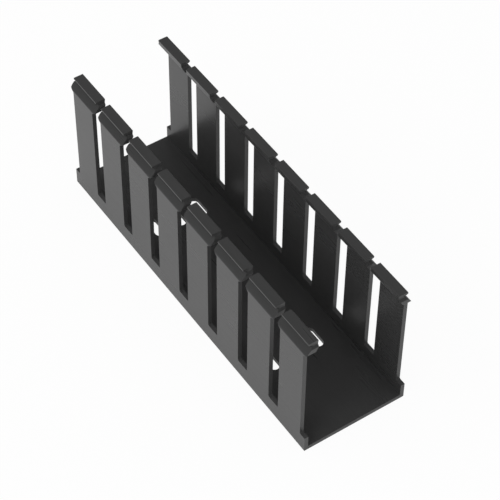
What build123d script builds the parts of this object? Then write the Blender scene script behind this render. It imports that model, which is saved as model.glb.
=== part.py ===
from build123d import *
import os

os.makedirs("parts", exist_ok=True)

# Sizes in millimetres. X runs along the duct, Y across it, Z is up.
pitch = 25.4             # one finger and one slot
finger_count = 8
slot_width = 7.7         # open slot between two fingers
slot_floor = 9.5         # top of the plain strip below the slots
slot_corner = 0.8        # radius at the bottom of a slot

width = 57.0             # across the outside of the walls
height = 74.8            # base to the top of the heads
wall = 2.15
base = 2.3
inner_corner = 0.2       # where a wall meets the base
outer_corner = 0.4

# The head on top of each finger. Depths are measured in from the outside of the
# wall and drops are measured down from the flat top.
lean_drop = 6.9          # the outside of the wall starts to curve in here
lean_radius = 9.0        # of the curve from there up to the groove
lean_round = 1.5
groove_depth = 4.1       # bottom of the groove that a cover clips into
groove_drop = 1.95
groove_round = 0.3
lip_depth = 1.6          # outer edge of the flat top
lip_thickness = 1.15
lip_round = 0.45
top_depth = 6.85         # inner edge of the flat top
edge_round = 0.3         # small rounding along the flat top
nose_depth = 6.5         # inner nose of the head
nose_drop = 3.1
nose_round = 0.8
chin_depth = 4.7         # the nose runs back to the wall through here
chin_drop = 6.5
chin_round = 0.8
neck_drop = 9.2          # the head has run out into the wall here
neck_round = 0.6

# The gap between two heads, seen from the side.
head_gap = 2.6           # between the tips of the arms
step_depth = 1.05        # the flat top stops this far short of the tips
step_drop = 2.4          # and is this thick there
step_slope = 1.0         # height of the slope from there to the tips
step_round = 0.3
tip_drop = 6.15          # underside of an arm at its tip
tip_round = 0.5
root_drop = 7.8          # underside of an arm beside the finger
root_round = 0.9

# Slotted mounting holes in the base, in rows across the duct.
hole_length = 12.8
hole_width = 5.1
hole_step = 12.7         # across the duct, hole to hole
holes_in_row = 3
row_distance = 4 * pitch

length = finger_count * pitch
outside = width / 2
inside = outside - wall
shoulder = (outside, height - lean_drop)
groove = (outside - groove_depth, height - groove_drop)
lip = (outside - lip_depth, height - lip_thickness)
nose = (outside - nose_depth, height - nose_drop)
chin = (outside - chin_depth, height - chin_drop)
neck = (inside, height - neck_drop)
slot_foot = (slot_width / 2, slot_floor)
arm_root = (slot_width / 2, height - root_drop)
arm_tip = (head_gap / 2, height - tip_drop)
slope_foot = (head_gap / 2, height - step_drop - step_slope)
slope_top = (head_gap / 2 + step_depth, height - step_drop)

# One open-topped slot seen from the side, with its middle at zero. It narrows
# between the heads, so each head overhangs its finger like the arms of a T.
with BuildSketch() as slot:
    with BuildLine() as slot_outline:
        Polyline(
            (0, slot_floor),
            slot_foot,
            arm_root,
            arm_tip,
            slope_foot,
            slope_top,
            (head_gap / 2 + step_depth, height + 1),
            (0, height + 1),
            close=True,
        )
    make_face()
    fillet(slot.vertices().sort_by_distance(slot_foot)[0], slot_corner)
    fillet(slot.vertices().sort_by_distance(arm_root)[0], root_round)
    fillet(slot.vertices().sort_by_distance(arm_tip)[0], tip_round)
    fillet(slot.vertices().sort_by_distance(slope_foot)[0], step_round)
    fillet(slot.vertices().sort_by_distance(slope_top)[0], step_round)
    mirror(about=Plane.YZ)

with BuildPart() as duct:
    # Half of the section, drawn around from the outside of the wall and mirrored.
    with BuildSketch(Plane.YZ.offset(-length / 2)) as section:
        with BuildLine() as outline:
            RadiusArc(shoulder, groove, -lean_radius)
            Polyline(
                groove,
                lip,
                (outside - lip_depth, height),
                (outside - top_depth, height),
                nose,
                chin,
                neck,
                (inside, base),
                (0, base),
                (0, 0),
                (outside, 0),
                shoulder,
            )
        make_face()
        fillet(section.vertices().group_by(Axis.Y)[-1], edge_round)
        fillet(section.vertices().sort_by_distance(lip)[0], lip_round)
        fillet(section.vertices().sort_by_distance(groove)[0], groove_round)
        fillet(section.vertices().sort_by_distance(shoulder)[0], lean_round)
        fillet(section.vertices().sort_by_distance(nose)[0], nose_round)
        fillet(section.vertices().sort_by_distance(chin)[0], chin_round)
        fillet(section.vertices().sort_by_distance(neck)[0], neck_round)
        fillet(section.vertices().sort_by_distance((inside, base))[0], inner_corner)
        fillet(section.vertices().sort_by_distance((outside, 0))[0], outer_corner)
        mirror(about=Plane.YZ)
    extrude(amount=length)

    # The slot is cut through both walls at every pitch. The two at the ends of
    # the duct are only half there, as the duct is sawn through a slot.
    with BuildSketch(Plane.XZ) as slots:
        with GridLocations(pitch, 1, finger_count + 1, 1):
            add(slot.sketch)
    extrude(amount=width, both=True, mode=Mode.SUBTRACT)

    # The oblong mounting holes, long way along the duct.
    with BuildSketch(Plane.XY) as holes:
        with GridLocations(row_distance, hole_step, 2, holes_in_row):
            SlotOverall(hole_length, hole_width)
    extrude(amount=base, mode=Mode.SUBTRACT)

duct.part.label = "slotted_wiring_duct"
export_step(duct.part, "parts/slotted_wiring_duct.step")
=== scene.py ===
import math

import bmesh
import bpy
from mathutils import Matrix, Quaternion, Vector


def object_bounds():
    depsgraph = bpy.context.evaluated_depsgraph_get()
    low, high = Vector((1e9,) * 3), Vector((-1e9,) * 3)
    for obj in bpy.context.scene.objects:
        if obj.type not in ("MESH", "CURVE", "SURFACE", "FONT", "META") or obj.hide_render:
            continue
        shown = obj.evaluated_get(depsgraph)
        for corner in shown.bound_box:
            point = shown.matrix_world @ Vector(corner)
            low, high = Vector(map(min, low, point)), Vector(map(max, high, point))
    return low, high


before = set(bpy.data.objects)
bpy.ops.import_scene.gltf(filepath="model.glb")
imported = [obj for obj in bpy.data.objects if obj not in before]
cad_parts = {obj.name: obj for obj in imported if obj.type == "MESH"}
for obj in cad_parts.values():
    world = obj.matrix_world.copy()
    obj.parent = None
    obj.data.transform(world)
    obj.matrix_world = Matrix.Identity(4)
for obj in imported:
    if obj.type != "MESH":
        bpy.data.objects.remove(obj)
cad_low, cad_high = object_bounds()


# The duct: one length of rigid black vinyl, pushed through a die as a plain
# channel. Its side slots and base holes are then punched, and the ends sawn.

class Value:
    """A number that changes over a surface, so that sums on it are written as sums."""

    def __init__(self, finish, socket):
        self.finish = finish
        self.socket = socket

    def work_out(self, operation, first, second=0.0):
        made = self.finish.node("ShaderNodeMath", {"operation": operation}, {0: first, 1: second})
        return Value(self.finish, made.outputs[0])

    def __add__(self, other):
        return self.work_out("ADD", self, other)

    def __radd__(self, other):
        return self.work_out("ADD", other, self)

    def __rsub__(self, other):
        return self.work_out("SUBTRACT", other, self)

    def __mul__(self, other):
        return self.work_out("MULTIPLY", self, other)

    def __rmul__(self, other):
        return self.work_out("MULTIPLY", other, self)

    def __abs__(self):
        return self.work_out("ABSOLUTE", self)

    def over(self, limit):
        return self.work_out("GREATER_THAN", self, limit)


class Finish:
    """The nodes of a material, or of the room round the object."""

    def __init__(self, owner):
        owner.use_nodes = True
        self.owner = owner
        self.tree = owner.node_tree
        self.tree.nodes.clear()

    def node(self, kind, settings=None, sockets=None):
        made = self.tree.nodes.new(kind)
        for name, value in (settings or {}).items():
            setattr(made, name, value)
        for name, value in (sockets or {}).items():
            if isinstance(value, Value):
                self.tree.links.new(value.socket, made.inputs[name])
            elif isinstance(value, bpy.types.NodeSocket):
                self.tree.links.new(value, made.inputs[name])
            else:
                made.inputs[name].default_value = value
        return made

    def noise(self, place, stretch, size, detail=2.0):
        """Noise from 0 to 1, with grains of the given size, drawn out by stretch."""
        mapped = self.node("ShaderNodeMapping", {}, {"Vector": place, "Scale": [1 / s for s in stretch]})
        made = self.node(
            "ShaderNodeTexNoise",
            {},
            {"Vector": mapped.outputs[0], "Scale": 1 / size, "Detail": detail},
        )
        return Value(self, made.outputs["Fac"])


vinyl_black = (0.035, 0.035, 0.035, 1)
vinyl_grey = (0.057, 0.057, 0.057, 1)
vinyl_index = 1.45
relief_height = 0.00005
relief_strength = 0.35

vinyl = Finish(bpy.data.materials.new("black_vinyl"))
place = vinyl.node("ShaderNodeTexCoord").outputs["Object"]
surface = vinyl.node("ShaderNodeNewGeometry")
facing = vinyl.node("ShaderNodeSeparateXYZ", {}, {0: surface.outputs["Normal"]})

# Punch and saw leave the faces across the duct duller than the skin that the
# die leaves, and with marks that run through the wall.
across = 0.7
cut = abs(Value(vinyl, facing.outputs["X"])).over(across)
skin = 1 - cut

# The die draws its lines out along the duct. Sizes are in metres.
fine_marks = 3.0
flow = vinyl.noise(place, stretch=(25, 1, 1), size=0.0005)
band = vinyl.noise(place, stretch=(60, 1, 1), size=0.0025, detail=fine_marks)
cloud = vinyl.noise(place, stretch=(3, 1, 1), size=0.02)
grain = vinyl.noise(place, stretch=(1, 1, 1), size=0.00035)
shear = vinyl.noise(place, stretch=(1, 12, 1), size=0.00025, detail=fine_marks)

# A few thin scuffs, only where the last noise peaks.
scuff_peak = 0.66
scuff = skin * vinyl.noise(place, stretch=(40, 1, 1), size=0.0007, detail=fine_marks).over(scuff_peak)

greyness = 0.35 * cloud + 0.15 * flow + 0.25 * band + cut * (0.15 + 0.4 * shear) + 0.15 * scuff
relief = skin * (flow + 1.5 * band) + 1.5 * cut * shear + 0.5 * grain
satin = 0.22 + 0.08 * cloud + 0.05 * band + cut * (0.04 + 0.08 * shear) + 0.06 * scuff

colour = vinyl.node("ShaderNodeMix", {"data_type": "RGBA"}, {0: greyness, 6: vinyl_black, 7: vinyl_grey})
bump = vinyl.node(
    "ShaderNodeBump",
    {},
    {"Strength": relief_strength, "Distance": relief_height, "Height": relief},
)
body = vinyl.node(
    "ShaderNodeBsdfPrincipled",
    {},
    {
        "Base Color": colour.outputs[2],
        "Roughness": satin,
        "IOR": vinyl_index,
        "Normal": bump.outputs[0],
    },
)
vinyl.node("ShaderNodeOutputMaterial", {}, {"Surface": body.outputs[0]})

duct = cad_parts["slotted_wiring_duct"]
duct.data.materials.clear()
duct.data.materials.append(vinyl.owner)


# The floor: one flat white sheet just under the duct, which takes its shadow.
# The camera sees it glow close to pure white. For glossy rays a pool of light is painted
# on it round the duct, twice as long as it is wide, with painted dusk past it, which the vinyl mirrors.
floor_gap = 0.0001
floor_reach = 0.6
floor_paint = (0.78, 0.78, 0.78, 1)
floor_shine = 0.95
floor_mirrored = 0.34
pure_white = 1.0
# Shape and size of the painted pool of light that glossy rays see on the floor.
painted_pool_squeeze = (0.5, 1, 0)
painted_pool_edge = 0.12
painted_pool_end = 0.16
# Strength of the painted dusk past the pool, and of the room as glossy rays see it.
dusk_light = 0.09

plain = Finish(bpy.data.materials.new("white_floor"))
sight = plain.node("ShaderNodeLightPath")
direct = Value(plain, sight.outputs["Is Camera Ray"])
mirrored = Value(plain, sight.outputs["Is Glossy Ray"])
paint = plain.node("ShaderNodeBsdfDiffuse", {}, {"Color": floor_paint})
glow = plain.node("ShaderNodeEmission", {}, {"Strength": pure_white})
mixed = plain.node(
    "ShaderNodeMixShader",
    {},
    {0: floor_shine * direct + floor_mirrored * mirrored, 1: paint.outputs[0], 2: glow.outputs[0]},
)

# Painted pool of light: an oval mask round the duct, past which glossy rays see painted dusk on the
# floor.
ground = plain.node("ShaderNodeTexCoord").outputs["Object"]
squeezed = plain.node("ShaderNodeVectorMath", {"operation": "MULTIPLY"}, {0: ground, 1: painted_pool_squeeze})
distance = plain.node("ShaderNodeVectorMath", {"operation": "LENGTH"}, {0: squeezed.outputs[0]})
fade = plain.node(
    "ShaderNodeMapRange",
    {"interpolation_type": "SMOOTHSTEP"},
    {"Value": distance.outputs["Value"], "From Min": painted_pool_edge, "From Max": painted_pool_end},
)
past_painted_pool = Value(plain, fade.outputs["Result"])
painted_dusk = plain.node("ShaderNodeEmission", {}, {"Strength": dusk_light})
pooled = plain.node(
    "ShaderNodeMixShader",
    {},
    {0: mirrored * past_painted_pool, 1: mixed.outputs[0], 2: painted_dusk.outputs[0]},
)
plain.node("ShaderNodeOutputMaterial", {}, {"Surface": pooled.outputs[0]})

shape = bmesh.new()
bmesh.ops.create_grid(shape, x_segments=1, y_segments=1, size=floor_reach)
bmesh.ops.translate(shape, vec=(0, 0, cad_low.z - floor_gap), verts=shape.verts)
floor_mesh = bpy.data.meshes.new("floor")
shape.to_mesh(floor_mesh)
shape.free()
floor_mesh.materials.append(plain.owner)
floor = bpy.data.objects.new("floor", floor_mesh)
bpy.context.scene.collection.objects.link(floor)


# The light: an even soft light from all round, in a room that is dusky where it
# is mirrored and white to the camera, and one wide lamp from the camera's left.
room_light = 0.73
neutral = (1, 1, 1, 1)
lamp_place = Vector((-0.1, -1.5, 1.4))
lamp_length = 2.4
lamp_width = 1.0
lamp_power = 20.5

room = Finish(bpy.data.worlds.new("room"))
sight = room.node("ShaderNodeLightPath")
soft = room.node("ShaderNodeBackground", {}, {"Color": neutral, "Strength": room_light})
dark = room.node("ShaderNodeBackground", {}, {"Color": neutral, "Strength": dusk_light})
white = room.node("ShaderNodeBackground", {}, {"Color": neutral, "Strength": pure_white})
shed = room.node(
    "ShaderNodeMixShader",
    {},
    {0: sight.outputs["Is Glossy Ray"], 1: soft.outputs[0], 2: dark.outputs[0]},
)
shown = room.node(
    "ShaderNodeMixShader",
    {},
    {0: sight.outputs["Is Camera Ray"], 1: shed.outputs[0], 2: white.outputs[0]},
)
room.node("ShaderNodeOutputWorld", {}, {"Surface": shown.outputs[0]})
bpy.context.scene.world = room.owner

lamp_data = bpy.data.lights.new("lamp", "AREA")
lamp_data.shape = "RECTANGLE"
lamp_data.size = lamp_length
lamp_data.size_y = lamp_width
lamp_data.energy = lamp_power
lamp = bpy.data.objects.new("lamp", lamp_data)
lamp.location = lamp_place
lamp.rotation_euler = lamp_place.to_track_quat("Z", "Y").to_euler()
lamp.visible_glossy = False
bpy.context.scene.collection.objects.link(lamp)


# The camera stands high off the near end of the left wall and is turned by a
# hair, as in the photograph.
view_azimuth = math.radians(55.438)
view_elevation = math.radians(48.903)
view_roll = math.radians(0.724)
view_distance = 0.9525
view_target = Vector((0.004307, 0.00704, 0.024931))
focal_length = 142.05
nearest_seen = 0.01
farthest_seen = 100

camera_data = bpy.data.cameras.new("camera")
camera_data.lens = focal_length
camera_data.clip_start = nearest_seen
camera_data.clip_end = farthest_seen
camera = bpy.data.objects.new("camera", camera_data)
bpy.context.scene.collection.objects.link(camera)
back = Vector((
    math.sin(view_azimuth) * math.cos(view_elevation),
    -math.cos(view_azimuth) * math.cos(view_elevation),
    math.sin(view_elevation),
))
camera.location = view_target + view_distance * back
camera.rotation_mode = "QUATERNION"
camera.rotation_quaternion = back.to_track_quat("Z", "Y") @ Quaternion((0, 0, 1), view_roll)
bpy.context.scene.camera = camera
bpy.context.scene.view_settings.view_transform = "Standard"
